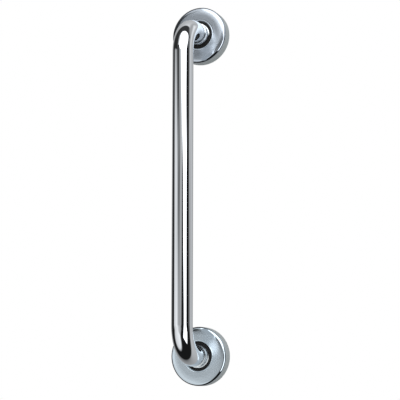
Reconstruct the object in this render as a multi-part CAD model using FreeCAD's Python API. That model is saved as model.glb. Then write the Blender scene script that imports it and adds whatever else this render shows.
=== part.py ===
import FreeCAD, Part
import math
import os

# Grab rail: one round tube bent square at both ends. Each end is swaged out a little and
# welded into a round screw-on wall plate, with a drawn slide-down cover and a rubber ring
# hiding the plate.
#
# Frame, in millimetres: the origin is the centre of the lower mount, on the plane of the
# wall. +Z runs up the rail, -Y points out of the wall towards the hand, +X is to the right
# of someone facing the rail. Pieces of a mount are built about the lower leg's axis, z = 0.

Vector = FreeCAD.Vector
HALF_ROOT = math.sqrt(0.5)   # sine and cosine of 45 degrees
ORIGIN = Vector(0, 0, 0)
LEG_AXIS = Vector(0, 1, 0)   # into the wall
OUTWARD = Vector(0, -1, 0)   # out of the wall

# ---- rail tube ----
CENTRES = 400.0          # between the two leg axes
TUBE_OD = 25.4           # 1 in tube
TUBE_WALL = 1.5
BEND_R = 35.0            # centreline radius of both bends
PROJECTION = 80.0        # wall to the outermost face of the bar
SWAGE_RISE = 1.1         # the tube's ends are swaged out by this much on the radius
SWAGE_ANGLE = 14.0       # slope of the swage's cone, degrees
SWAGE_BLEND_R = 10.0     # blend from the tube into the cone
SWAGE_END = 18.8         # wall to the end of the cone; from there to the plate it is straight

TUBE_R = TUBE_OD / 2
BORE_R = TUBE_R - TUBE_WALL
SWAGE_R = TUBE_R + SWAGE_RISE
STANDOFF = PROJECTION - TUBE_R          # wall to the bar's axis
FIT_GAP = 0.05           # radial gap of a slip fit

# ---- gasket: rubber pad between plate and wall ----
GASKET_T = 2.0
GASKET_R = 33.0
GASKET_BORE_R = 14.0
GASKET_SCREW_R = 2.6     # screw holes

# ---- wall plate ----
PLATE_T = 4.0
PLATE_R = 33.5
PLATE_EDGE = 0.5         # chamfer on the plate's front edge
PLATE_BORE_R = SWAGE_R + FIT_GAP
PLATE_SCREW_R = 2.75     # screw holes
SINK_R = 5.3             # countersink, at the plate's front face
SINK_EXTRA = 1.0         # the countersink's cutter runs on this far in front of the plate
DRILL_Y = 10.0           # the hole cutter starts this far behind the wall plane
DRILL_LENGTH = 30.0
TUBE_INSET = 0.5         # plate's back face to the tube's end, inside the plate

PLATE_BACK = -GASKET_T
PLATE_FRONT = PLATE_BACK - PLATE_T
TUBE_END = PLATE_BACK - TUBE_INSET

# ---- fixing screws ----
SCREW_PCD = 49.0         # pitch circle diameter
SCREW_ANGLES = {"right": 30.0, "left": 150.0, "bottom": 270.0}   # from +X towards +Z
SCREW_FIRST_TURN = 17.0  # turn of the first screw's cross about its axis, degrees
SCREW_TURN_STEP = 41.0   # each next screw is turned this much further
SCREW_R = 2.5            # over the thread
SCREW_NECK_R = 2.3       # plain shank under the head
THREAD_START = 0.15      # the thread begins this far behind the wall plane
SCREW_HEAD_R = 5.0
SCREW_HEAD_EDGE = 0.15   # chamfer round the head's top
SCREW_LENGTH = 30.0
SCREW_TIP = 4.5          # length of the pointed end
SCREW_POINT_R = 0.35     # radius where the blunt point starts
SCREW_POINT_H = 0.3      # height of the blunt point
SCREW_SUNK = 0.13        # head top below the plate's front face
RECESS_DEPTH = 1.9       # cross recess in the head
RECESS_HALF = 2.3        # half the span of the cross at the cutter's top
RECESS_W = 1.0           # width of one blade slot at the cutter's top
RECESS_ABOVE = 0.5       # the cutter's top stands this far above the head
RECESS_SPAN_TAPER = 0.45   # span at the bottom, as a share of the span at the top
RECESS_WIDTH_TAPER = 0.8   # slot width at the bottom, as a share of the width at the top

# ---- fillet weld ----
WELD_LEG = 3.8           # leg length
WELD_BULGE = 0.45        # crown of the weld above its flat chord
WELD_GAP = 0.01          # between the weld and the swaged tube

# ---- cover ----
COVER_R = 35.5
COVER_H = 17.0           # wall to the cover's face
COVER_T = 1.2
COVER_GAP = 0.3          # rear rim to wall
COVER_EDGE_R = 3.4       # outside radius between face and skirt
COVER_CROWN_FROM = 25.0  # the face is flat up to here, then falls away into the edge
COVER_CROWN_TILT = 8.0   # slope of the face where it meets the edge radius, degrees
LIP_R = 17.5             # radius of the opening
LIP_ROLL_R = 2.0         # outside radius of the rolled-in lip
LIP_END = 13.4           # wall to the end of the lip's collar
REAR_ROUND = 0.35        # rounding of the skirt's rear rim

# ---- seal ring ----
SEAL_IN_R = SWAGE_R + FIT_GAP
SEAL_OUT_R = LIP_R - FIT_GAP
SEAL_FLANGE_R = 19.6
SEAL_FLANGE_FRONT = LIP_END - 0.1   # wall to the flange's front, just behind the collar
SEAL_REAR = 11.4         # wall to the ring's rear face
SEAL_SHOULDER = 15.1     # wall to the edge of the visible face
SEAL_CROWN = 0.75        # height of the visible face's crown

MOUNTS = {"upper": CENTRES, "lower": 0.0}   # heights of the two leg axes


# ---- helpers ----
def outward(solid):
    """The solid, turned right side out if it was built with a negative volume."""
    if solid.Volume < 0:
        solid.reverse()
    return solid


def turned(profile):
    """Solid of revolution about the leg's axis, from a profile of (radius, y) points.

    An entry ((radius, y), (radius, y)) is an arc through its first point to its second.
    The profile closes itself with a straight edge.
    """
    edges = []
    start = here = Vector(*profile[0], 0)
    for entry in profile[1:]:
        if isinstance(entry[0], tuple):
            middle, end = (Vector(*point, 0) for point in entry)
            curve = Part.Arc(here, middle, end)
        else:
            end = Vector(*entry, 0)
            curve = Part.LineSegment(here, end)
        edges.append(curve.toShape())
        here = end
    if (here - start).Length > 1e-6:
        edges.append(Part.LineSegment(here, start).toShape())
    return outward(Part.Face(Part.Wire(edges)).revolve(ORIGIN, LEG_AXIS, 360))


def arc_about(centre_x, centre_y, radius, from_angle, to_angle):
    """Profile entry for an arc that starts at from_angle and ends at to_angle, in degrees."""
    def point(degrees):
        angle = math.radians(degrees)
        return (centre_x + radius * math.cos(angle), centre_y + radius * math.sin(angle))

    return (point((from_angle + to_angle) / 2), point(to_angle))


def raised(shape, z):
    copy = shape.copy()
    copy.translate(Vector(0, 0, z))
    return copy


def screw_place(angle):
    """x and z of the screw at this angle on the pitch circle."""
    radians = math.radians(angle)
    return SCREW_PCD / 2 * math.cos(radians), SCREW_PCD / 2 * math.sin(radians)


def export(shape, name):
    if shape.ShapeType == "Compound" and len(shape.Solids) == 1:
        shape = shape.Solids[0]
    if not all(solid.isValid() for solid in shape.Solids):
        raise RuntimeError(name + " holds a bad solid")
    shape.exportStep(os.path.join("parts", name + ".step"))


# ---- rail tube ----
swage_sin = math.sin(math.radians(SWAGE_ANGLE))
swage_cos = math.cos(math.radians(SWAGE_ANGLE))
blend_rise = SWAGE_BLEND_R * (1 - swage_cos)
cone_start = -SWAGE_END - (SWAGE_RISE - blend_rise) * swage_cos / swage_sin
BLEND_START = cone_start - SWAGE_BLEND_R * swage_sin   # y where plain tube turns to swage


def swept_bar(radius):
    """Round bar along the rail's centreline, from one swage's start to the other's."""
    top, low = MOUNTS["upper"], MOUNTS["lower"]
    bend_y = BEND_R - STANDOFF                  # where a leg meets its bend
    mid_inset = BEND_R * (1 - HALF_ROOT)        # bend's middle, in from the outer corner
    top_start = Vector(0, BLEND_START, top)
    top_leg = Vector(0, bend_y, top)
    top_mid = Vector(0, -STANDOFF + mid_inset, top - mid_inset)
    top_bar = Vector(0, -STANDOFF, top - BEND_R)
    low_bar = Vector(0, -STANDOFF, low + BEND_R)
    low_mid = Vector(0, -STANDOFF + mid_inset, low + mid_inset)
    low_leg = Vector(0, bend_y, low)
    low_start = Vector(0, BLEND_START, low)
    path = [
        Part.LineSegment(top_start, top_leg).toShape(),
        Part.Arc(top_leg, top_mid, top_bar).toShape(),
        Part.LineSegment(top_bar, low_bar).toShape(),
        Part.Arc(low_bar, low_mid, low_leg).toShape(),
        Part.LineSegment(low_leg, low_start).toShape(),
    ]
    ring = Part.Wire([Part.Circle(top_start, OUTWARD, radius).toShape()])
    make_solid, frenet = True, False
    return outward(Part.Wire(path).makePipeShell([ring], make_solid, frenet))


def swage():
    """Swaged end of a leg, hollow with an even wall."""
    half = math.radians(SWAGE_ANGLE / 2)

    def surface(radius, offset):
        """Blend's start, middle and end, cone's end, tube's end; offset is the depth inside
        the outer surface."""
        blend_r = SWAGE_BLEND_R + offset
        return [
            (radius, BLEND_START),
            (radius + blend_r * (1 - math.cos(half)), BLEND_START + blend_r * math.sin(half)),
            (radius + blend_r * (1 - swage_cos), BLEND_START + blend_r * swage_sin),
            (radius + SWAGE_RISE, -SWAGE_END + offset * math.tan(half)),
            (radius + SWAGE_RISE, TUBE_END),
        ]

    outer = surface(TUBE_R, 0.0)
    inner = surface(BORE_R, TUBE_WALL)
    return turned([
        outer[0], (outer[1], outer[2]), outer[3], outer[4],
        inner[4], inner[3], inner[2], (inner[1], inner[0]),
    ])


def rail_tube():
    tube = swept_bar(TUBE_R).cut(swept_bar(BORE_R))
    for end in ("lower", "upper"):
        tube = tube.fuse(raised(swage(), MOUNTS[end]))
    return tube.removeSplitter()


# ---- wall plate and gasket ----
def screw_drill(radius, x, z):
    return Part.makeCylinder(radius, DRILL_LENGTH, Vector(x, DRILL_Y, z), OUTWARD)


def wall_plate():
    plate = turned([
        (PLATE_BORE_R, PLATE_BACK),
        (PLATE_R, PLATE_BACK),
        (PLATE_R, PLATE_FRONT + PLATE_EDGE),
        (PLATE_R - PLATE_EDGE, PLATE_FRONT),
        (PLATE_BORE_R, PLATE_FRONT),
    ])
    sink_depth = SINK_R - PLATE_SCREW_R     # the countersink's sides slope at 45 degrees
    for angle in SCREW_ANGLES.values():
        x, z = screw_place(angle)
        sink = Part.makeCone(
            SINK_R + SINK_EXTRA, PLATE_SCREW_R, sink_depth + SINK_EXTRA,
            Vector(x, PLATE_FRONT - SINK_EXTRA, z), LEG_AXIS)
        plate = plate.cut(screw_drill(PLATE_SCREW_R, x, z)).cut(sink)
    return plate


def wall_gasket():
    gasket = turned([
        (GASKET_BORE_R, 0.0),
        (GASKET_R, 0.0),
        (GASKET_R, -GASKET_T),
        (GASKET_BORE_R, -GASKET_T),
    ])
    for angle in SCREW_ANGLES.values():
        gasket = gasket.cut(screw_drill(GASKET_SCREW_R, *screw_place(angle)))
    return gasket


# ---- fixing screw ----
def recess_outline(half_span, half_width, y):
    corners = [(-1, -1), (1, -1), (1, 1), (-1, 1), (-1, -1)]
    return Part.makePolygon([Vector(i * half_span, y, j * half_width) for i, j in corners])


def fixing_screw():
    """Screw on the Y axis: head top at y = 0, tip towards +Y."""
    head_y = PLATE_FRONT + SCREW_SUNK       # head top's y once it is in the plate
    thread_y = THREAD_START - head_y
    screw = turned([
        (0.0, 0.0),
        (SCREW_HEAD_R - SCREW_HEAD_EDGE, 0.0),
        (SCREW_HEAD_R, SCREW_HEAD_EDGE),
        (SCREW_NECK_R, SCREW_HEAD_EDGE + SCREW_HEAD_R - SCREW_NECK_R),
        (SCREW_NECK_R, thread_y),
        (SCREW_R, thread_y),
        (SCREW_R, SCREW_LENGTH - SCREW_TIP),
        (SCREW_POINT_R, SCREW_LENGTH - SCREW_POINT_H),
        (0.0, SCREW_LENGTH),
    ])
    for turn in (0, 90):
        top = recess_outline(RECESS_HALF, RECESS_W / 2, -RECESS_ABOVE)
        bottom = recess_outline(
            RECESS_HALF * RECESS_SPAN_TAPER, RECESS_W / 2 * RECESS_WIDTH_TAPER, RECESS_DEPTH)
        blade = Part.makeLoft([top, bottom], True, True)    # solid, ruled
        blade.rotate(ORIGIN, LEG_AXIS, turn)
        screw = screw.cut(blade)
    return screw


def placed_screws():
    """The mount's screws by place name, each with its cross turned differently."""
    screw = fixing_screw()
    placed = {}
    for i, (place, angle) in enumerate(SCREW_ANGLES.items()):
        x, z = screw_place(angle)
        copy = screw.copy()
        copy.rotate(ORIGIN, LEG_AXIS, SCREW_FIRST_TURN + SCREW_TURN_STEP * i)
        copy.translate(Vector(x, PLATE_FRONT + SCREW_SUNK, z))
        placed[place] = copy
    return placed


# ---- fillet weld round the tube ----
def weld_bead():
    inner_r = SWAGE_R + WELD_GAP
    crown = WELD_LEG / 2 + WELD_BULGE * HALF_ROOT   # crown's distance from either leg
    return turned([
        (inner_r, PLATE_FRONT),
        (inner_r + WELD_LEG, PLATE_FRONT),
        ((inner_r + crown, PLATE_FRONT - crown), (inner_r, PLATE_FRONT - WELD_LEG)),
    ])


# ---- cover: one drawn sheet, open to the wall ----
def cover():
    inner_r = COVER_R - COVER_T
    face_y = -COVER_H
    rim_y = -COVER_GAP - REAR_ROUND         # centres of the rear rim's roundings
    tilt_sin = math.sin(math.radians(COVER_CROWN_TILT))
    tilt_cos = math.cos(math.radians(COVER_CROWN_TILT))
    edge_x = COVER_R - COVER_EDGE_R         # centre of the edge radius
    # The crown's arc is tangent to the flat face and to the edge radius.
    crown_r = (edge_x + COVER_EDGE_R * tilt_sin - COVER_CROWN_FROM) / tilt_sin
    crown_y = face_y + crown_r
    edge_y = crown_y - crown_r * tilt_cos + COVER_EDGE_R * tilt_cos
    tilt_angle = COVER_CROWN_TILT - 90      # direction from both centres to where they meet
    roll_x = LIP_R + LIP_ROLL_R             # centre of the roll from the face to the collar
    roll_y = face_y + LIP_ROLL_R
    return turned([
        # rear rim and outer surface, inwards to the collar's end
        (inner_r, rim_y),
        arc_about(inner_r + REAR_ROUND, rim_y, REAR_ROUND, 180, 90),
        (COVER_R - REAR_ROUND, -COVER_GAP),
        arc_about(COVER_R - REAR_ROUND, rim_y, REAR_ROUND, 90, 0),
        (COVER_R, edge_y),
        arc_about(edge_x, edge_y, COVER_EDGE_R, 0, tilt_angle),
        arc_about(COVER_CROWN_FROM, crown_y, crown_r, tilt_angle, -90),
        (roll_x, face_y),
        arc_about(roll_x, roll_y, LIP_ROLL_R, 270, 180),
        (LIP_R, -LIP_END),
        # inner surface, back out to the skirt
        (LIP_R + COVER_T, -LIP_END),
        (LIP_R + COVER_T, roll_y),
        arc_about(roll_x, roll_y, LIP_ROLL_R - COVER_T, 180, 270),
        (COVER_CROWN_FROM, face_y + COVER_T),
        arc_about(COVER_CROWN_FROM, crown_y, crown_r - COVER_T, -90, tilt_angle),
        arc_about(edge_x, edge_y, COVER_EDGE_R - COVER_T, tilt_angle, 0),
    ])


# ---- rubber ring in the cover's opening ----
def seal_ring():
    crown = ((SEAL_OUT_R + SEAL_IN_R) / 2, -SEAL_SHOULDER - SEAL_CROWN)
    return turned([
        (SEAL_IN_R, -SEAL_REAR),
        (SEAL_FLANGE_R, -SEAL_REAR),
        (SEAL_FLANGE_R, -SEAL_FLANGE_FRONT),
        (SEAL_OUT_R, -SEAL_FLANGE_FRONT),
        (SEAL_OUT_R, -SEAL_SHOULDER),
        (crown, (SEAL_IN_R, -SEAL_SHOULDER)),
    ])


# ---- write every piece ----
os.makedirs("parts", exist_ok=True)
export(rail_tube(), "rail_tube")

mount_pieces = {
    "wall_plate": wall_plate(),
    "wall_gasket": wall_gasket(),
    "weld_bead": weld_bead(),
    "cover": cover(),
    "seal_ring": seal_ring(),
}
for place, screw in placed_screws().items():
    mount_pieces["screw_" + place] = screw

for end, z in MOUNTS.items():
    for name, piece in mount_pieces.items():
        export(raised(piece, z), end + "_" + name)
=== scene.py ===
"""A polished steel rail on a wall: an upright bar bent back at both ends into legs.

The bar stands along Z at BAR_Y. The legs run along +Y to the wall, at x = 0, z = UP_Z and
z = LOW_Z. Each leg widens near the wall and has a cover, a seal ring, a wall plate, a gasket,
a weld bead and three screws. -Y is the front. Sizes are in millimetres, and meshes, shader
coordinates and the camera's place are turned into metres.
"""
import math

import bpy
import numpy as np
from mathutils import Matrix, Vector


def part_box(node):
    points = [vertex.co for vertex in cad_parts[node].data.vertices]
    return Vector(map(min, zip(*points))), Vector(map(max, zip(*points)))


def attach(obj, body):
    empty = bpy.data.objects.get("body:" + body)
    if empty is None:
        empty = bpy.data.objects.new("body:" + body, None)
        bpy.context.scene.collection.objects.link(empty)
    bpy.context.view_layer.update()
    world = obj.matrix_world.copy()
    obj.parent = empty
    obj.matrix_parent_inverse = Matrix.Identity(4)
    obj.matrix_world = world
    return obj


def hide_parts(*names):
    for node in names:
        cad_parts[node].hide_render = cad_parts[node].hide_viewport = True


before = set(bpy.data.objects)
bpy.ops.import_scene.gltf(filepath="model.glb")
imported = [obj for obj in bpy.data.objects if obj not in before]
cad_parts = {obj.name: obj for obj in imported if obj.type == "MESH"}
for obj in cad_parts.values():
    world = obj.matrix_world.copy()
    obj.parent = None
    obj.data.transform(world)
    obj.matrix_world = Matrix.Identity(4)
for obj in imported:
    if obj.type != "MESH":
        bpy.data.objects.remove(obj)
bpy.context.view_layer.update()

MM = 0.001
TAU = 2.0 * math.pi


# ------------------------------------------------------------------ sizes shared by the pieces
def box_mm(name):
    """Low and high corner of a CAD piece, in millimetres."""
    low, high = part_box(name)
    return np.array(low, float) / MM, np.array(high, float) / MM


tube_low, tube_high = box_mm("rail_tube")
upper_cover_low, upper_cover_high = box_mm("upper_cover")
cover_low, cover_high = box_mm("lower_cover")
seal_low, seal_high = box_mm("lower_seal_ring")
weld_low, weld_high = box_mm("lower_weld_bead")

SWAGE_RISE = 1.1                                # how much the leg's radius grows near the wall
SWAGE_R = (tube_high[0] - tube_low[0]) / 2
TUBE_R = SWAGE_R - SWAGE_RISE
TUBE_WALL = 1.5
BEND_R = 35.0
BAR_Y = tube_low[1] + TUBE_R
TUBE_END_Y = tube_high[1]

UP_Z = (upper_cover_low[2] + upper_cover_high[2]) / 2
LOW_Z = (cover_low[2] + cover_high[2]) / 2
END_Z = {"upper": UP_Z, "lower": LOW_Z}
OUTWARD = {"upper": 1.0, "lower": -1.0}         # the way along Z that leaves the rail
MID_Z = (UP_Z + LOW_Z) / 2
OPEN_R = 17.5                                   # opening in the cover's face

VIEW_AZIMUTH = 21.385                           # degrees; the camera stands right of the front


# ------------------------------------------------------------------ mesh helpers
def make_mesh(name, verts, faces, normals=None, materials=(), slots=None):
    """verts in millimetres; faces as an array of quads or a list of tuples;
    normals one per face corner, in face order; slots one material index per face."""
    mesh = bpy.data.meshes.new(name)
    points = np.asarray(verts, float) * MM
    if isinstance(faces, np.ndarray):
        count = len(faces)
        mesh.vertices.add(len(points))
        mesh.vertices.foreach_set("co", points.ravel())
        mesh.loops.add(count * 4)
        mesh.loops.foreach_set("vertex_index", faces.astype(np.int32).ravel())
        mesh.polygons.add(count)
        mesh.polygons.foreach_set("loop_start", np.arange(0, count * 4, 4, dtype=np.int32))
    else:
        mesh.from_pydata(points.tolist(), [], faces)
    for material in materials:
        mesh.materials.append(material)
    mesh.update(calc_edges=True)
    mesh.polygons.foreach_set("use_smooth", np.ones(len(mesh.polygons), dtype=bool))
    if slots is not None:
        mesh.polygons.foreach_set("material_index", np.asarray(slots, dtype=np.int32))
    mesh.update()
    if normals is not None:
        mesh.normals_split_custom_set(np.asarray(normals, float).tolist())
    return add_object(name, mesh)


def add_object(name, data):
    piece = bpy.data.objects.new(name, data)
    bpy.context.scene.collection.objects.link(piece)
    return piece


def register(piece, rides, replaces):
    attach(piece, rides)
    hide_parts(replaces)


def ring_quads(first, second, count):
    """Quads between two rings of vertices, given by their numbers."""
    here = np.arange(count)
    after = (here + 1) % count
    return np.stack([first * count + here, first * count + after,
                     second * count + after, second * count + here], -1)


class Profile:
    """A closed profile in (r, y), as strips that each carry their own exact tangents.

    Each strip starts where the last one ends. The profile runs with the solid on its right.
    """

    def __init__(self):
        self.strips = []   # (points, tangents, material slot)

    def line(self, start, end, steps=1, slot=0):
        start, end = np.array(start, float), np.array(end, float)
        tangent = (end - start) / np.linalg.norm(end - start)
        points = [start + (end - start) * i / steps for i in range(steps + 1)]
        self.strips.append((np.array(points), np.array([tangent] * (steps + 1)), slot))

    def arc(self, centre, radius, from_deg, to_deg, steps, slot=0):
        angle = np.radians(np.linspace(from_deg, to_deg, steps + 1))
        points = np.stack([centre[0] + radius * np.cos(angle),
                           centre[1] + radius * np.sin(angle)], -1)
        turn = 1.0 if to_deg > from_deg else -1.0
        tangents = np.stack([-np.sin(angle) * turn, np.cos(angle) * turn], -1)
        self.strips.append((points, tangents, slot))

    def curve(self, points):
        points = np.array(points, float)
        tangents = np.gradient(points, axis=0)
        tangents /= np.linalg.norm(tangents, axis=1)[:, None]
        self.strips.append((points, tangents, 0))


def lathe(name, profile, axis_z, segments, materials, offset=None):
    """Turns a profile about a leg's axis (x = 0, z = axis_z).

    offset(theta, r, y) may return small shifts of (r, y); the mesh then has no custom normals.
    """
    outline = np.concatenate([points[:-1] for points, _, _ in profile.strips])
    count = len(outline)
    theta = np.arange(segments) * TAU / segments
    cos, sin = np.cos(theta), np.sin(theta)
    radius = np.repeat(outline[:, 0][:, None], segments, 1)
    y = np.repeat(outline[:, 1][:, None], segments, 1)
    if offset is not None:
        radius_shift, y_shift = offset(np.broadcast_to(theta, radius.shape), radius, y)
        radius, y = radius + radius_shift, y + y_shift
    verts = np.stack([radius * cos, y, axis_z + radius * sin], -1).reshape(-1, 3)

    here = np.arange(segments)
    after = (here + 1) % segments
    faces, normals, slots = [], [], []
    base = 0
    for points, tangents, slot in profile.strips:
        outward = np.stack([-tangents[:, 1], tangents[:, 0]], -1)
        for j in range(len(points) - 1):
            faces.append(ring_quads((base + j) % count, (base + j + 1) % count, segments))
            corners = ((outward[j], here), (outward[j], after),
                       (outward[j + 1], after), (outward[j + 1], here))
            normals.append(np.stack([
                np.stack([n[0] * cos[at], np.full(segments, n[1]), n[0] * sin[at]], -1)
                for n, at in corners], 1))
            slots.append(np.full(segments, slot))
        base += len(points) - 1
    normals = np.concatenate(normals).reshape(-1, 3) if offset is None else None
    return make_mesh(name, verts, np.concatenate(faces), normals, materials,
                     np.concatenate(slots))


# ------------------------------------------------------------------ node helpers
class Value:
    """A shader value. Arithmetic on it adds maths nodes to the current tree."""
    tree = None

    def __init__(self, socket):
        self.socket = socket

    def __add__(self, other):
        return maths("ADD", self, other)

    def __sub__(self, other):
        return maths("SUBTRACT", self, other)

    def __rsub__(self, other):
        return maths("SUBTRACT", other, self)

    def __mul__(self, other):
        return maths("MULTIPLY", self, other)

    def __truediv__(self, other):
        return maths("DIVIDE", self, other)


def clear_tree(owner):
    """Empties the node tree of a material or world and makes it the current one."""
    owner.use_nodes = True
    owner.node_tree.nodes.clear()
    Value.tree = owner.node_tree


def feed(target, source):
    """Links a Value into an input, or sets the input to a plain number or tuple."""
    if isinstance(source, Value):
        Value.tree.links.new(source.socket, target)
    else:
        target.default_value = source


def add_node(kind, inputs=None, **settings):
    node = Value.tree.nodes.new("ShaderNode" + kind)
    for name, setting in settings.items():
        setattr(node, name, setting)
    for key, source in (inputs or {}).items():
        feed(node.inputs[key], source)
    return node


def result(kind, inputs=None, output=0, **settings):
    """Adds a node and gives one of its outputs."""
    return Value(add_node(kind, inputs, **settings).outputs[output])


def maths(operation, *values):
    return result("Math", dict(enumerate(values)), operation=operation)


def lesser(a, b):
    return maths("MINIMUM", a, b)


def greater(a, b):
    return maths("MAXIMUM", a, b)


def absolute(a):
    return maths("ABSOLUTE", a)


def clamped(a, low, high):
    return lesser(greater(a, low), high)


def length_of(a, b):
    return maths("SQRT", a * a + b * b)


def smooth_step(value, span, to=(0.0, 1.0)):
    """Eases from to[0] to to[1] as value crosses span."""
    inputs = {"Value": value, "From Min": span[0], "From Max": span[1],
              "To Min": to[0], "To Max": to[1]}
    return result("MapRange", inputs, "Result", interpolation_type="SMOOTHSTEP")


def dot(vector, direction):
    return result("VectorMath", {0: vector, 1: tuple(direction)}, "Value",
                  operation="DOT_PRODUCT")


def separate(vector):
    return [Value(output) for output in add_node("SeparateXYZ", {0: vector}).outputs]


def mix_colours(factor, first, second):
    return result("Mix", {0: factor, 6: first, 7: second}, 2, data_type="RGBA")


def object_position():
    return result("TexCoord", output="Object")


def noise(vector, scale, detail, roughness, stretch=(1, 1, 1)):
    mapped = result("Mapping", {"Scale": stretch, "Vector": vector})
    return result("TexNoise", {"Scale": scale, "Detail": detail, "Roughness": roughness,
                               "Vector": mapped})


def ramp(factor, stops):
    """Colour ramp from (position, colour) stops."""
    node = add_node("ValToRGB", {0: factor})
    elements = node.color_ramp.elements
    for element, (position, colour) in ((elements[0], stops[0]), (elements[1], stops[-1])):
        element.position = position
        element.color = (*colour, 1)
    for position, colour in stops[1:-1]:
        elements.new(position).color = (*colour, 1)
    return Value(node.outputs[0])


# ------------------------------------------------------------------ the studio, as seen in the steel
# azimuth and elevation of the middle (degrees; azimuth from the camera's side, + to the right),
# roll (degrees), half width, half height (tangents), corner radius as a share of the shorter
# half, edge softness, brightness, brightness slope across, brightness slope up
PANELS = [
    (158.4, 4.1, 6.4, 2.41, 4.15, 1.0, 1.6, 0.497, 0.26, 0.314),           # board behind the rail
    (158.6, 0.0, 0.0, 0.60, 0.60, 1.0, 0.35, 0.44, 0.0, 0.0),              # dimmer wall behind
    (-58.5, -27.3, 20.8, 0.595, 0.741, 1.0, 0.356, 0.943, -0.203, 0.10),   # reflector, low left
    (-19.0, 6.4, -57.4, 0.598, 0.316, 0.72, 0.203, 0.479, 0.201, 0.176),   # its dim edge
    (-76.8, 6.8, 9.0, 0.472, 0.12, 0.43, 0.162, 0.962, -0.8, 0.376),       # its upper edge
    (-29.8, 38.5, 10.0, 0.43, 0.49, 0.61, 0.44, 1.06, 0.0, 0.0),           # overhead box, left edge
    (-46.5, 15.0, 0.0, 0.17, 0.13, 1.0, 0.12, 0.62, 0.10, 0.0),            # overhead box, spill
    (5.8, 41.0, 20.2, 0.775, 0.60, 0.437, 0.064, 2.3, 0.0, 0.0),           # overhead softbox
    (36.6, -12.5, 11.3, 0.325, 0.455, 0.07, 0.094, 2.3, 0.0, 0.0),         # softbox, right
    (1.6, 0.8, -54.1, 0.188, 0.125, 0.38, 0.03, 0.015, 0.0, 0.0),          # black flag
    (75.4, 10.2, -34.1, 0.362, 0.472, 1.0, 0.03, 0.12, -0.203, 0.018),     # flag, right
    (-56.0, 7.5, -7.0, 0.62, 0.07, 0.53, 0.43, 0.32, 0.999, -0.14),        # low strip, left
    (108.0, 42.0, 0.0, 0.42, 0.42, 1.0, 0.35, 0.45, 0.0, 0.0),             # side light, high
    (102.4, 24.7, -41.3, 0.477, 0.136, 0.04, 0.372, 0.875, -0.184, 0.284), # strip, right
    (-52.0, 20.0, 0.0, 0.149, 0.14, 0.3, 0.05, 0.05, 0.0, 0.0),            # black strip, left
    (53.3, 1.5, -24.0, 0.095, 0.20, 0.2, 0.03, 0.012, 0.0, 0.0),           # black strip, right
]
# brightness of the bare room straight down, at the horizon and straight up
ROOM_DOWN, ROOM_LEVEL, ROOM_UP = 0.011, 0.0147, 0.0456
BRIGHTEST = 2.6
SLOPE_REACH = 1.3         # a panel's slope stops this many half sizes from its middle
SECOND_MIRROR_LIGHT = 0.72
SECOND_MIRROR_DEPTH = 2.5


def direction_of(azimuth, elevation):
    """Unit vector; azimuth 0 is the front (-Y) and + turns to +X. Angles in radians."""
    return np.array([math.sin(azimuth) * math.cos(elevation),
                     -math.cos(azimuth) * math.cos(elevation), math.sin(elevation)])


def rolled_axes(forward, roll):
    """Across and up axes square to forward, turned about it by roll radians."""
    across = np.cross(forward, [0, 0, 1.0])
    across /= np.linalg.norm(across)
    up = np.cross(across, forward)
    return (math.cos(roll) * across + math.sin(roll) * up,
            -math.sin(roll) * across + math.cos(roll) * up)


def add_panel(light, direction, panel):
    """Lays one soft rounded rectangle over the light so far."""
    (azimuth, elevation, roll, half_width, half_height, corner_share, softness,
     brightness, slope_across, slope_up) = panel
    middle = direction_of(math.radians(azimuth + VIEW_AZIMUTH), math.radians(elevation))
    across, up = rolled_axes(middle, math.radians(roll))
    corner = corner_share * min(half_width, half_height)
    facing = dot(direction, middle)
    depth = greater(facing, 1e-3)
    x = dot(direction, across) / depth
    y = dot(direction, up) / depth
    past_x = absolute(x) - (half_width - corner)
    past_y = absolute(y) - (half_height - corner)
    outside = length_of(greater(past_x, 0), greater(past_y, 0))
    distance = outside + lesser(greater(past_x, past_y), 0) - corner
    mask = (smooth_step(distance * -1.0, span=(-0.5 * softness, 0.5 * softness))
            * maths("GREATER_THAN", facing, 0.0))
    if slope_across or slope_up:
        brightness = greater(
            clamped(x / half_width, -SLOPE_REACH, SLOPE_REACH) * slope_across
            + clamped(y / half_height, -SLOPE_REACH, SLOPE_REACH) * slope_up
            + brightness, 0)
    return light + (brightness - light) * mask


def studio_light(direction):
    height = dot(direction, (0, 0, 1))
    below = clamped(height + 1.0, 0, 1)
    light = (below * below * (ROOM_LEVEL - ROOM_DOWN) + ROOM_DOWN
             + clamped(height, 0, 1) * (ROOM_UP - ROOM_LEVEL))
    for panel in PANELS:
        light = add_panel(light, direction, panel)
    return lesser(light, BRIGHTEST)


def build_world():
    world = bpy.data.worlds.new("studio")
    bpy.context.scene.world = world
    clear_tree(world)
    light = studio_light(result("TexCoord", output="Generated"))
    # steel seen in steel: the second mirroring sees a room without its dark corners
    path = add_node("LightPath")
    light = light + (greater(light, SECOND_MIRROR_LIGHT) - light) * maths(
        "GREATER_THAN", Value(path.outputs["Ray Depth"]), SECOND_MIRROR_DEPTH)
    grey = result("CombineColor", {0: light, 1: light, 2: light})
    studio = result("Background", {"Color": grey})
    white = result("Background", {"Color": (1, 1, 1, 1)})
    seen = Value(path.outputs["Is Camera Ray"])
    add_node("OutputWorld", {0: result("MixShader", {0: seen, 1: studio, 2: white})})


build_world()


# ------------------------------------------------------------------ materials (coordinates in metres)
def blank_material(name):
    """A material with only its output node."""
    material = bpy.data.materials.new(name)
    clear_tree(material)
    return material, add_node("OutputMaterial")


def new_material(name):
    """A material whose output shows a principled shader."""
    material, output = blank_material(name)
    shader = add_node("BsdfPrincipled")
    feed(output.inputs["Surface"], Value(shader.outputs[0]))
    return material, shader


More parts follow.
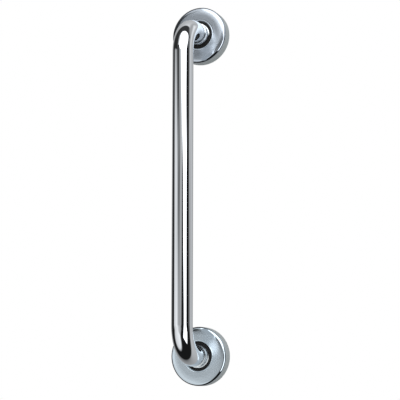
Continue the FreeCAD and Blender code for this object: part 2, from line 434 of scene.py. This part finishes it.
def dress(shader, colour, roughness, grain, depth, metallic=1.0, specular=0.5):
    """Sets a principled shader; grain is the bump height and depth its size in metres."""
    bump = result("Bump", {"Distance": depth, "Strength": 1.0, "Height": grain})
    inputs = {"Base Color": colour, "Metallic": metallic, "Roughness": roughness,
              "Specular IOR Level": specular, "Normal": bump}
    for name, source in inputs.items():
        feed(shader.inputs[name], source)


def axis_polar(position, axis_z):
    """Distance from a leg's axis, and the place along it."""
    x, y, z = separate(position)
    height = z - axis_z * MM
    return length_of(x, height), y


def polished_tube():
    material, shader = new_material("polished_tube")
    position = object_position()
    smudge = noise(position, scale=28, detail=3, roughness=0.55, stretch=(1, 1, 0.5))
    fine = noise(position, scale=900, detail=2, roughness=0.5, stretch=(1, 1, 0.06))
    # the last stretch of each leg is rougher, as it is harder to reach with the polishing mop; its lighter
    # colour is a painted highlight that brightens the steel's reflection there
    near_wall = smooth_step(separate(position)[1], span=(-0.038, -0.022))
    satin = near_wall * 0.20
    colour = mix_colours(near_wall, first=(0.77, 0.80, 0.835, 1), second=(0.90, 0.925, 0.94, 1))
    roughness = (smooth_step(smudge, span=(0.35, 0.75), to=(0.018, 0.045))
                 + (fine - 0.5) * 0.02 + satin)
    dress(shader, colour, greater(roughness, 0.01), grain=fine, depth=0.0000006)
    return material


def tube_inside():
    material, shader = new_material("tube_inside")
    mottle = noise(object_position(), scale=160, detail=5, roughness=0.6)
    dress(shader,
          colour=ramp(mottle, [(0.0, (0.20, 0.19, 0.18)), (1.0, (0.42, 0.41, 0.39))]),
          roughness=smooth_step(mottle, span=(0.3, 0.7), to=(0.38, 0.55)),
          grain=mottle, depth=0.00003)
    return material


def polished_cover(axis_z, steel_and_reflection_tint):
    # the face's tint is the steel's colour with a painted reflection of the room mixed in, different on the two
    # covers
    material, shader = new_material("polished_cover_%d" % round(axis_z))
    position = object_position()
    distance, y = axis_polar(position, axis_z)
    ring_stretch = 1.0                # scale of the ring pattern along the leg
    rings = noise(result("CombineXYZ", {0: distance, 1: y * ring_stretch}),
                  scale=2600, detail=3, roughness=0.6)
    broad = noise(position, scale=60, detail=3, roughness=0.5)
    # painted shade: a dark line is painted into the colour of the tight edge, on every side but the right,
    # standing for the dark end of the room mirrored there
    normal_x, normal_y, normal_z = separate(result("NewGeometry", output="Normal"))
    slope = 1.0 - absolute(normal_y)  # 0 on the face, 1 on the skirt
    line = (smooth_step(slope, span=(0.16, 0.40))
            * smooth_step(slope, span=(0.80, 0.93), to=(1.0, 0.0)))
    side = smooth_step(normal_x / greater(length_of(normal_x, normal_z), 0.01),
                       span=(0.15, 0.60), to=(1.0, 0.0))
    skirt_span = (0.94, 0.995)
    # painted reflection: the skirt, the same steel as the face, gets its own colour, painted to stand for the
    # light it mirrors
    skirt = mix_colours(smooth_step(slope, skirt_span),
                        first=(*steel_and_reflection_tint, 1), second=(0.595, 0.65, 0.665, 1))
    edge = mix_colours(line * side, first=skirt,
                       second=(steel_and_reflection_tint[0] * 0.10, steel_and_reflection_tint[1] * 0.10, steel_and_reflection_tint[2] * 0.12, 1))
    # a satin band on the face, between two radii
    satin = (smooth_step(distance, span=(0.0185, 0.0205))
             * smooth_step(distance, span=(0.0290, 0.0318), to=(1.0, 0.0)))
    roughness = (smooth_step(broad, span=(0.35, 0.7), to=(0.05, 0.07))
                 + (rings - 0.5) * 0.02 + satin * 0.22)
    roughness = greater(roughness + smooth_step(slope, skirt_span) * 0.42, 0.03)
    dress(shader, edge, roughness, grain=rings, depth=0.0000005)
    return material


def cover_inside():
    """Drawn sheet, left as it came from the press: dull, with faint draw marks."""
    material, shader = new_material("cover_inside")
    position = object_position()
    marks = noise(position, scale=700, detail=3, roughness=0.55, stretch=(1, 0.06, 1))
    cloud = noise(position, scale=90, detail=4, roughness=0.6)
    dress(shader,
          colour=ramp(cloud, [(0.3, (0.40, 0.42, 0.43)), (0.7, (0.56, 0.585, 0.60))]),
          roughness=(smooth_step(cloud, span=(0.3, 0.7), to=(0.30, 0.42))
                     + (marks - 0.5) * 0.12),
          grain=marks, depth=0.000012)
    return material


def seal_rubber(axis_z, outward):
    """Black rubber, whose outer side shows a painted bright reflection to glossy rays. outward is 1 or -1: the
    way along Z that leaves the rail.
    """
    material, output = blank_material("seal_rubber_%d" % round(axis_z))
    shader = add_node("BsdfPrincipled")
    position = object_position()
    grain = noise(position, scale=1400, detail=3, roughness=0.6)
    cloud = noise(position, scale=120, detail=2, roughness=0.5)
    dress(shader,
          colour=ramp(cloud, [(0.0, (0.0035, 0.0035, 0.004)), (1.0, (0.009, 0.009, 0.010))]),
          roughness=smooth_step(grain, span=(0.3, 0.7), to=(0.55, 0.75)),
          grain=grain, depth=0.00003, metallic=0.0, specular=0.25)
    # painted reflection: to glossy rays the outer side of the rubber shows as bright polished steel, so the
    # polished leg mirrors a bright cover rather than the black rubber beside it
    front = result("CombineXYZ", {1: -1.0})
    painted_bright_reflection = result("BsdfGlossy", {"Color": (0.85, 0.90, 0.92, 1), "Roughness": 0.10,
                                   "Normal": front})
    outer_side = smooth_step((separate(position)[2] - axis_z * MM) * outward,
                             span=(-0.004, 0.005))
    mirrored = result("LightPath", output="Is Glossy Ray")
    feed(output.inputs["Surface"],
         result("MixShader", {0: mirrored * outer_side, 1: Value(shader.outputs[0]), 2: painted_bright_reflection}))
    return material


def wall_plate(axis_z):
    """Faced steel plate: fine turning rings, and the weld's heat colours close to the tube."""
    material, shader = new_material("wall_plate_%d" % round(axis_z))
    position = object_position()
    distance, y = axis_polar(position, axis_z)
    rings = noise(result("CombineXYZ", {0: distance, 1: y}),
                  scale=3200, detail=3, roughness=0.65)
    cloud = noise(position, scale=140, detail=4, roughness=0.6)
    # distance from the axis in millimetres, made uneven by the cloud
    heat = distance * 1000.0 + (cloud - 0.5) * 2.4
    colour = ramp(smooth_step(heat, span=(17.0, 24.0)), [
        (0.0, (0.20, 0.20, 0.27)), (0.12, (0.17, 0.21, 0.40)), (0.24, (0.36, 0.21, 0.30)),
        (0.38, (0.55, 0.40, 0.20)), (0.58, (0.60, 0.55, 0.43)), (0.85, (0.56, 0.57, 0.57)),
        (1.0, (0.57, 0.58, 0.585))])
    dress(shader, colour,
          roughness=(smooth_step(cloud, span=(0.3, 0.7), to=(0.24, 0.36))
                     + (rings - 0.5) * 0.14),
          grain=rings, depth=0.000012)
    return material


def weld_metal():
    """Unpolished fillet weld, with straw and blue oxide."""
    material, shader = new_material("weld_metal")
    position = object_position()
    oxide = noise(position, scale=420, detail=4, roughness=0.6)
    fine = noise(position, scale=2400, detail=3, roughness=0.6)
    dress(shader,
          colour=ramp(oxide, [(0.30, (0.16, 0.18, 0.30)), (0.45, (0.40, 0.36, 0.34)),
                              (0.60, (0.58, 0.52, 0.42)), (0.75, (0.62, 0.60, 0.57))]),
          roughness=smooth_step(fine, span=(0.3, 0.7), to=(0.26, 0.46)),
          grain=fine, depth=0.00002)
    return material


def screw_steel():
    """Bright stainless screw, with rolled-in grain."""
    material, shader = new_material("screw_steel")
    position = object_position()
    grain = noise(position, scale=1500, detail=4, roughness=0.6)
    cloud = noise(position, scale=260, detail=3, roughness=0.5)
    dress(shader,
          colour=ramp(cloud, [(0.3, (0.50, 0.50, 0.49)), (0.7, (0.66, 0.665, 0.665))]),
          roughness=smooth_step(grain, span=(0.3, 0.7), to=(0.16, 0.30)),
          grain=grain, depth=0.00001)
    return material


def gasket_rubber():
    """Cut sheet rubber: matt black with a fine grain and a little chalky bloom."""
    material, shader = new_material("gasket_rubber")
    position = object_position()
    grain = noise(position, scale=1900, detail=4, roughness=0.65)
    bloom = noise(position, scale=95, detail=4, roughness=0.6)
    dress(shader,
          colour=ramp(bloom, [(0.35, (0.010, 0.010, 0.011)), (0.8, (0.032, 0.032, 0.034))]),
          roughness=smooth_step(grain, span=(0.3, 0.7), to=(0.72, 0.92)),
          grain=grain, depth=0.00005, metallic=0.0, specular=0.3)
    return material


MAT_TUBE = polished_tube()
MAT_COVER_INSIDE = cover_inside()
MAT_WELD = weld_metal()
MAT_SCREW = screw_steel()
MAT_GASKET = gasket_rubber()
MAT_TUBE_INSIDE = tube_inside()


# ------------------------------------------------------------------ rail tube
# towards the wall a leg goes: plain tube, blend arc, cone, toe arc, swaged tube
SWAGE_ANGLE = math.radians(14.0)
SWAGE_BLEND_R = 10.0
SWAGE_TOE_R = 1.5
SWAGE_END = -18.8                               # y where cone and swaged tube would meet
TUBE_SEGMENTS = 256

BLEND_RISE = SWAGE_BLEND_R * (1 - math.cos(SWAGE_ANGLE))
CONE_START = SWAGE_END - (SWAGE_RISE - BLEND_RISE) / math.tan(SWAGE_ANGLE)
BLEND_START = CONE_START - SWAGE_BLEND_R * math.sin(SWAGE_ANGLE)
TOE_TANGENT = SWAGE_TOE_R * math.tan(SWAGE_ANGLE / 2)
TOE_START = SWAGE_END - TOE_TANGENT * math.cos(SWAGE_ANGLE)
TOE_END = SWAGE_END + TOE_TANGENT


def leg_radius(y):
    """Outside radius of a leg at y, and its slope."""
    if y <= BLEND_START:
        return TUBE_R, 0.0
    if y < CONE_START:
        along = y - BLEND_START
        rest = math.sqrt(SWAGE_BLEND_R ** 2 - along * along)
        return TUBE_R + SWAGE_BLEND_R - rest, along / rest
    if y < TOE_START:
        slope = math.tan(SWAGE_ANGLE)
        return TUBE_R + BLEND_RISE + (y - CONE_START) * slope, slope
    if y < TOE_END:
        along = TOE_END - y
        rest = math.sqrt(SWAGE_TOE_R ** 2 - along * along)
        return SWAGE_R - SWAGE_TOE_R + rest, along / rest
    return SWAGE_R, 0.0


def leg_stations(fine):
    """The y of each ring of vertices on a leg, from the wall to the bend."""
    toe, cone, blend, plain = (7, 7, 9, 6) if fine else (3, 3, 4, 3)
    stations = [TUBE_END_Y, -6.0, -12.0]
    stations += list(np.linspace(TOE_END + 0.25, TOE_START, toe))
    stations += list(np.linspace(TOE_START, CONE_START, cone))[1:]
    stations += list(np.linspace(CONE_START, BLEND_START, blend))[1:]
    stations += list(np.linspace(BLEND_START, BAR_Y + BEND_R, plain))[1:-1]
    return stations


def path_frames(fine, bend_steps, bar_steps):
    """Stations along the centreline, from the lower leg's wall end to the upper leg's:
    y, z, the tube's in-plane axis (y, z), outside radius and its slope."""
    bend_y = BAR_Y + BEND_R
    legs = leg_stations(fine)
    frames = [(y, LOW_Z, 0.0, 1.0) + leg_radius(y) for y in legs]
    for i in range(bend_steps):
        angle = math.pi / 2 * i / bend_steps
        frames.append((bend_y - BEND_R * math.sin(angle), LOW_Z + BEND_R * (1 - math.cos(angle)),
                       math.sin(angle), math.cos(angle), TUBE_R, 0.0))
    for i in range(bar_steps):
        z = LOW_Z + BEND_R + (UP_Z - LOW_Z - 2 * BEND_R) * i / bar_steps
        frames.append((BAR_Y, z, 1.0, 0.0, TUBE_R, 0.0))
    for i in range(bend_steps):
        angle = math.pi / 2 * (1 - i / bend_steps)
        frames.append((bend_y - BEND_R * math.sin(angle), UP_Z - BEND_R * (1 - math.cos(angle)),
                       math.sin(angle), -math.cos(angle), TUBE_R, 0.0))
    frames.append((bend_y, UP_Z, 0.0, -1.0, TUBE_R, 0.0))
    frames += [(y, UP_Z, 0.0, -1.0) + leg_radius(y) for y in legs[::-1]]
    return np.array(frames)


def tube_ring(y, z, axis_y, axis_z, radius, slope):
    """One ring of points and outward normals; X is the axis across the plane."""
    theta = np.arange(TUBE_SEGMENTS) * TAU / TUBE_SEGMENTS
    in_plane = radius * np.sin(theta)
    normals = np.stack([np.cos(theta), axis_y * np.sin(theta) - slope,
                        axis_z * np.sin(theta)], -1)
    normals /= np.linalg.norm(normals, axis=1)[:, None]
    points = np.stack([radius * np.cos(theta), y + axis_y * in_plane, z + axis_z * in_plane], -1)
    return points, normals


def build_tube():
    """The outside from end to end, then the inside back again, closed at both wall ends."""
    verts, ring_normals = [], []
    for frame_row in path_frames(fine=True, bend_steps=72, bar_steps=48):
        points, normals = tube_ring(*frame_row)
        verts.append(points)
        ring_normals.append(normals)
    outer_count = len(verts)
    for y, z, axis_y, axis_z, radius, slope in path_frames(
            fine=False, bend_steps=28, bar_steps=8)[::-1]:
        points, normals = tube_ring(y, z, axis_y, axis_z, radius - TUBE_WALL, slope)
        verts.append(points)
        ring_normals.append(-normals)
    total = len(verts)
    here = np.arange(TUBE_SEGMENTS)
    after = (here + 1) % TUBE_SEGMENTS
    faces, normals, slots = [], [], []
    for j in range(total):
        following = (j + 1) % total
        faces.append(ring_quads(j, following, TUBE_SEGMENTS))
        if j in (outer_count - 1, total - 1):
            normals.append(np.broadcast_to(np.array([0.0, 1.0, 0.0]), (TUBE_SEGMENTS, 4, 3)))
        else:
            first, second = ring_normals[j], ring_normals[following]
            normals.append(np.stack([first[here], first[after],
                                     second[after], second[here]], 1))
        slots.append(np.full(TUBE_SEGMENTS, 0 if j < outer_count - 1 else 1))
    piece = make_mesh("rail_tube_polished", np.concatenate(verts), np.concatenate(faces),
                      np.concatenate(normals).reshape(-1, 3), (MAT_TUBE, MAT_TUBE_INSIDE),
                      np.concatenate(slots))
    register(piece, "rail", "rail_tube")


build_tube()

# ------------------------------------------------------------------ covers
COVER_R = (cover_high[0] - cover_low[0]) / 2
COVER_FRONT = cover_low[1]
COVER_REAR = cover_high[1]
COVER_SHEET = 1.2
EDGE_R = 3.4              # tight edge between the face and the skirt
CROWN_FROM = 25.0         # radius where the flat face starts to fall away
CROWN_TILT = 8.0          # degrees, at the tight edge
LIP_R = 2.0               # roll into the opening
COLLAR_DEPTH = 2.5        # how far the collar runs behind the seal's front
REAR_ROUND = 0.35         # outer rear corner
REAR_CHAMFER = 0.2        # inner rear corner
# each cover's tint is partly the steel's own colour and partly painted reflection: the same steel is bluer and
# darker above, greener and lighter below
COVER_STEEL_AND_REFLECTION_TINT = {"upper": (0.485, 0.54, 0.605), "lower": (0.55, 0.63, 0.69)}


def cover_profile():
    """Outer surface from the rear to the collar, then the inner surface (slot 1) back."""
    tilt_sin = math.sin(math.radians(CROWN_TILT))
    tilt_cos = math.cos(math.radians(CROWN_TILT))
    crown_end = COVER_R - EDGE_R + EDGE_R * tilt_sin
    crown_r = (crown_end - CROWN_FROM) / tilt_sin
    edge_y = COVER_FRONT + crown_r * (1 - tilt_cos) + EDGE_R * tilt_cos
    edge = (COVER_R - EDGE_R, edge_y)
    crown = (CROWN_FROM, COVER_FRONT + crown_r)
    lip = (OPEN_R + LIP_R, COVER_FRONT + LIP_R)
    crown_deg = -(90 - CROWN_TILT)
    collar_end = seal_low[1] + COLLAR_DEPTH
    skirt_in = COVER_R - COVER_SHEET
    collar_in = OPEN_R + COVER_SHEET
    back_of_face = COVER_FRONT + COVER_SHEET
    rear_round = (COVER_R - REAR_ROUND, COVER_REAR - REAR_ROUND)

    p = Profile()
    p.arc(rear_round, REAR_ROUND, 90, 0, 5)
    p.line((COVER_R, rear_round[1]), (COVER_R, edge_y), 6)
    p.arc(edge, EDGE_R, 0, crown_deg, 20)
    p.arc(crown, crown_r, crown_deg, -90, 16)
    p.line((CROWN_FROM, COVER_FRONT), (lip[0], COVER_FRONT), 8)
    p.arc(lip, LIP_R, 270, 180, 16)
    p.line((OPEN_R, lip[1]), (OPEN_R, collar_end), 2)
    p.line((OPEN_R, collar_end), (collar_in, collar_end), 1, slot=1)
    p.line((collar_in, collar_end), (collar_in, lip[1]), 2, slot=1)
    p.arc(lip, LIP_R - COVER_SHEET, 180, 270, 8, slot=1)
    p.line((lip[0], back_of_face), (CROWN_FROM, back_of_face), 4, slot=1)
    p.arc(crown, crown_r - COVER_SHEET, -90, crown_deg, 8, slot=1)
    p.arc(edge, EDGE_R - COVER_SHEET, crown_deg, 0, 8, slot=1)
    chamfer_start = (skirt_in, COVER_REAR - REAR_CHAMFER)
    chamfer_end = (skirt_in + REAR_CHAMFER, COVER_REAR)
    p.line((skirt_in, edge_y), chamfer_start, 4, slot=1)
    p.line(chamfer_start, chamfer_end, 1, slot=1)
    p.line(chamfer_end, (rear_round[0], COVER_REAR))
    return p


for end, z in END_Z.items():
    cover_materials = (polished_cover(z, COVER_STEEL_AND_REFLECTION_TINT[end]), MAT_COVER_INSIDE)
    cover = lathe(end + "_cover_polished", cover_profile(), z, 288, cover_materials)
    register(cover, end + "_cover", end + "_cover")

# ------------------------------------------------------------------ seal rings
SEAL_GAP = 0.05           # to the leg inside and to the cover's opening outside
FLANGE_R = (seal_high[0] - seal_low[0]) / 2
FLANGE_FRONT = -13.3
FLANGE_REAR_ROUND = 0.3
FLANGE_FRONT_ROUND = 0.2
SEAL_BULGE = 0.75         # rise of the rounded front


def seal_profile():
    """A neck with a rounded front, and a wider flange behind it."""
    inner, outer = SWAGE_R + SEAL_GAP, OPEN_R - SEAL_GAP
    rear, bulge_y = seal_high[1], seal_low[1] + SEAL_BULGE
    rear_round = (FLANGE_R - FLANGE_REAR_ROUND, rear - FLANGE_REAR_ROUND)
    front_round = (FLANGE_R - FLANGE_FRONT_ROUND, FLANGE_FRONT + FLANGE_FRONT_ROUND)
    p = Profile()
    p.line((inner, rear), (rear_round[0], rear), 2)
    p.arc(rear_round, FLANGE_REAR_ROUND, 90, 0, 4)
    p.line((FLANGE_R, rear_round[1]), (FLANGE_R, front_round[1]))
    p.arc(front_round, FLANGE_FRONT_ROUND, 0, -90, 4)
    p.line((front_round[0], FLANGE_FRONT), (outer, FLANGE_FRONT))
    p.line((outer, FLANGE_FRONT), (outer, bulge_y), 2)
    middle, half = (inner + outer) / 2, (outer - inner) / 2
    p.curve([(middle + half * math.cos(a), bulge_y - SEAL_BULGE * math.sin(a))
             for a in np.linspace(0, math.pi, 25)])
    p.line((inner, bulge_y), (inner, rear), 3)
    return p


for end, z in END_Z.items():
    seal = lathe(end + "_seal_ring_rubber", seal_profile(), z, 192,
                 (seal_rubber(z, OUTWARD[end]),))
    register(seal, end + "_seal_ring", end + "_seal_ring")


# ------------------------------------------------------------------ wall plates and gaskets keep their CAD shape
def set_material(node, material):
    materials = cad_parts[node].data.materials
    if len(materials) == 0:
        materials.append(material)
    for i in range(len(materials)):
        materials[i] = material


for end, z in END_Z.items():
    set_material(end + "_wall_plate", wall_plate(z))
    set_material(end + "_wall_gasket", MAT_GASKET)

# ------------------------------------------------------------------ weld beads
WELD_IN_R = SWAGE_R + 0.02
WELD_OUT_R = (weld_high[0] - weld_low[0]) / 2
WELD_REAR, WELD_FRONT = weld_high[1], weld_low[1]
WELD_CROWN = 0.45         # bulge of the face beyond its chord
WELD_STEPS = 14
WELD_RIPPLES = 58
RIPPLE_HEIGHT = 0.17
WAVE_HEIGHT = 0.07        # slow unevenness round the bead
PUDDLE_RISE = 0.8         # share of a ripple spent rising
DIAGONAL = 0.7071         # r and y share of a move square to the face


def weld_profile():
    points = []
    for i in range(WELD_STEPS + 1):
        t = i / WELD_STEPS
        bulge = WELD_CROWN * 4 * t * (1 - t) * DIAGONAL
        points.append((WELD_OUT_R + (WELD_IN_R - WELD_OUT_R) * t + bulge,
                       WELD_REAR + (WELD_FRONT - WELD_REAR) * t - bulge))
    p = Profile()
    p.line((WELD_IN_R, WELD_REAR), (WELD_OUT_R, WELD_REAR), 2)
    p.curve(points)
    p.line((WELD_IN_R, WELD_FRONT), (WELD_IN_R, WELD_REAR), 3)
    return p


def build_weld(end, z, phase):
    def ripple(theta, radius, y):
        width = WELD_OUT_R - WELD_IN_R
        t = np.clip((WELD_OUT_R - radius) / width, 0, 1)
        # 0 on the chord, above 0 on the crown
        crown = (radius - WELD_IN_R) / width + (WELD_REAR - y) / (WELD_REAR - WELD_FRONT) - 1.0
        face = np.clip(crown * 6.0, 0, 1) * 4 * t * (1 - t)
        # ripples bow along the bead, and their spacing wanders
        turn = (WELD_RIPPLES * theta + phase + 3.4 * (t - 0.5) ** 2 * 4
                + 0.6 * np.sin(3 * theta + phase) + 0.35 * np.sin(7 * theta + 2 * phase))
        part = (turn / TAU) % 1.0
        # a slow rise and a quick fall: overlapping puddles
        puddle = np.where(part < PUDDLE_RISE, part / PUDDLE_RISE, (1 - part) / (1 - PUDDLE_RISE))
        height = (RIPPLE_HEIGHT * (puddle - 0.55) * face
                  + WAVE_HEIGHT * np.sin(5 * theta + phase) * face)
        return height * DIAGONAL, -height * DIAGONAL

    weld = lathe(end + "_weld_bead_rippled", weld_profile(), z, 696, (MAT_WELD,), ripple)
    weld.data.set_sharp_from_angle(angle=math.radians(60))
    register(weld, "rail", end + "_weld_bead")


for k, (end, z) in enumerate(END_Z.items()):
    build_weld(end, z, phase=0.7 + 1.9 * k)

# ------------------------------------------------------------------ screws
# depths are measured from the face of the head, towards the wall
HEAD_R, NECK_R, THREAD_R, CORE_R = 5.0, 2.3, 2.5, 1.95
HEAD_RIM = 0.15
HEAD_CONE = HEAD_R - NECK_R
THREAD_PITCH, SCREW_LENGTH, TIP_LENGTH = 2.1, 30.0, 4.5
STEPS_PER_TURN = 12
THREAD_START_Y = 0.15
RECESS_DEPTH = 1.9
RECESS_FLOOR = (1.035, 0.40)      # half length and half width of the cross
RECESS_MOUTH = (2.035, 0.479)
SCREW_SEGMENTS = 48               # also the number of points round the cross
SCREW_TURNS = (("right", 17.0), ("left", 58.0), ("bottom", 99.0))   # degrees


def cross_outline(half_length, half_width):
    """Points round a cross, 12 in each quarter."""
    corners = [(half_length, 0.0), (half_length, half_width), (half_width, half_width),
               (half_width, half_length), (0.0, half_length)]
    points = []
    for quarter in range(4):
        cos, sin = math.cos(quarter * math.pi / 2), math.sin(quarter * math.pi / 2)
        for start, end, parts in zip(corners[:-1], corners[1:], (2, 4, 4, 2)):
            for i in range(parts):
                t = i / parts
                x = start[0] + (end[0] - start[0]) * t
                y = start[1] + (end[1] - start[1]) * t
                points.append((x * cos - y * sin, x * sin + y * cos))
    return np.array(points)


def thread_radii(depth, thread_from, theta):
    """Radius round the screw at one depth of the thread."""
    tip = min(1.0, max(0.0, (SCREW_LENGTH - depth) / TIP_LENGTH))
    lead = min(1.0, (depth - thread_from) / THREAD_PITCH)
    crest = THREAD_R * (0.12 + 0.88 * tip)
    core = CORE_R * (0.10 + 0.90 * tip)
    part = (depth / THREAD_PITCH - theta / TAU) % 1.0
    ridge = np.clip(1 - np.abs(part - 0.5) / 0.24, 0, 1) ** 0.85
    return np.minimum(core + (crest - core) * ridge * lead
                      + (NECK_R - CORE_R) * (1 - lead) * 0.8, THREAD_R)


def screw_rows(thread_from):
    """Rings from the middle of the recess, over the head and down to the tip."""
    count = SCREW_SEGMENTS
    theta = np.arange(count) * TAU / count
    floor, mouth = cross_outline(*RECESS_FLOOR), cross_outline(*RECESS_MOUTH)
    rows = [np.stack([cross[:, 0] * scale, np.full(count, depth), cross[:, 1] * scale], -1)
            for cross, scale, depth in ((floor, 0.35, RECESS_DEPTH + 0.25),
                                        (floor, 1.0, RECESS_DEPTH),
                                        (mouth, 1.0, 0.06), (mouth, 1.03, 0.0))]
    # radius, depth
    circles = [(3.2, 0.0), (4.2, 0.0), (HEAD_R - HEAD_RIM, 0.0),
               (HEAD_R - 0.04, 0.04), (HEAD_R, HEAD_RIM)]
    circles += [(HEAD_R - HEAD_CONE * t, HEAD_RIM + HEAD_CONE * t) for t in (0.05, 0.5, 0.93)]
    circles += [(NECK_R + 0.03, HEAD_RIM + HEAD_CONE + 0.06),
                (NECK_R, HEAD_RIM + HEAD_CONE + 0.3), (NECK_R, thread_from - 0.25)]
    depth = thread_from
    while depth < SCREW_LENGTH - 0.25:
        circles.append((thread_radii(depth, thread_from, theta), depth))
        depth += THREAD_PITCH / STEPS_PER_TURN
    circles.append((0.12, SCREW_LENGTH - 0.05))
    for radius, depth in circles:
        rows.append(np.stack([radius * np.cos(theta), np.full(count, depth),
                              radius * np.sin(theta)], -1))
    return rows


def build_screw(name, node, turn):
    low, high = box_mm(node)
    head_y = low[1]
    count = SCREW_SEGMENTS
    rows = screw_rows(THREAD_START_Y - head_y)
    last = (len(rows) - 1) * count
    recess_point = len(rows) * count
    tip_point = recess_point + 1
    local = np.concatenate(rows + [[[0, RECESS_DEPTH + 0.3, 0]], [[0, SCREW_LENGTH, 0]]])
    faces = []
    for row in range(0, last, count):
        for i in range(count):
            after = (i + 1) % count
            faces.append((row + count + i, row + count + after, row + after, row + i))
    for i in range(count):
        after = (i + 1) % count
        faces.append((i, after, recess_point))
        faces.append((last + after, last + i, tip_point))
    angle = math.radians(turn)
    x = local[:, 0] * math.cos(angle) + local[:, 2] * math.sin(angle)
    z = -local[:, 0] * math.sin(angle) + local[:, 2] * math.cos(angle)
    verts = np.stack([(low[0] + high[0]) / 2 + x, head_y + local[:, 1],
                      (low[2] + high[2]) / 2 + z], -1)
    screw = make_mesh(name, verts, faces, materials=(MAT_SCREW,))
    screw.data.set_sharp_from_angle(angle=math.radians(32))
    register(screw, "rail", node)


for end in END_Z:
    for place, turn in SCREW_TURNS:
        node = "%s_screw_%s" % (end, place)
        build_screw(node + "_threaded", node, turn)

# ------------------------------------------------------------------ floor
FLOOR_DROP = 160.0        # below the lower leg's axis
FLOOR_R = 3000.0
FLOOR_SEGMENTS = 96
FLOOR_HUB_Y = -30.0       # the fan's middle point


def floor_pale():
    """Glows from 0.90 near the rail to 1.00 far away."""
    material, output = blank_material("floor_pale")
    position = result("NewGeometry", output="Position")
    distance = result("VectorMath", {0: position}, "Value", operation="LENGTH")
    far = smooth_step(distance, span=(0.15, 2.6))
    feed(output.inputs["Surface"], result("Emission", {"Strength": far * 0.10 + 0.90}))
    return material


def build_floor():
    """A disc that only the camera sees."""
    mesh = bpy.data.meshes.new("floor")
    count, radius = FLOOR_SEGMENTS, FLOOR_R * MM
    z = LOW_Z * MM - FLOOR_DROP * MM
    verts = [(0, FLOOR_HUB_Y * MM, z)]
    verts += [(radius * math.cos(TAU * i / count), radius * math.sin(TAU * i / count), z)
              for i in range(count)]
    mesh.from_pydata(verts, [], [(0, 1 + i, 1 + (i + 1) % count) for i in range(count)])
    floor = add_object("floor", mesh)
    mesh.materials.append(floor_pale())
    floor.visible_glossy = False
    floor.visible_diffuse = False
    floor.visible_shadow = False


build_floor()

# ------------------------------------------------------------------ camera
CAMERA_ELEVATION = -8.4818        # degrees
CAMERA_ROLL = 0.1035              # degrees
CAMERA_DISTANCE = 1523.05
CAMERA_TARGET = (7.8035, -30.0, MID_Z - 11.7545)
SENSOR_WIDTH = 36.0
FOCAL_LENGTH = 112.716


def build_camera():
    back = direction_of(math.radians(VIEW_AZIMUTH), math.radians(CAMERA_ELEVATION))
    right, up = rolled_axes(-back, math.radians(CAMERA_ROLL))
    data = bpy.data.cameras.new("camera")
    data.sensor_width = SENSOR_WIDTH
    data.lens = FOCAL_LENGTH
    data.clip_start = 0.05
    data.clip_end = 50.0
    camera = add_object("camera", data)
    placing = np.eye(4)
    placing[:3, :3] = np.stack([right, up, back], -1)
    placing[:3, 3] = (np.array(CAMERA_TARGET) + CAMERA_DISTANCE * back) * MM
    camera.matrix_world = Matrix(placing.tolist())
    bpy.context.scene.camera = camera


build_camera()
view = bpy.context.scene.view_settings
view.view_transform = "Standard"
view.look = "None"
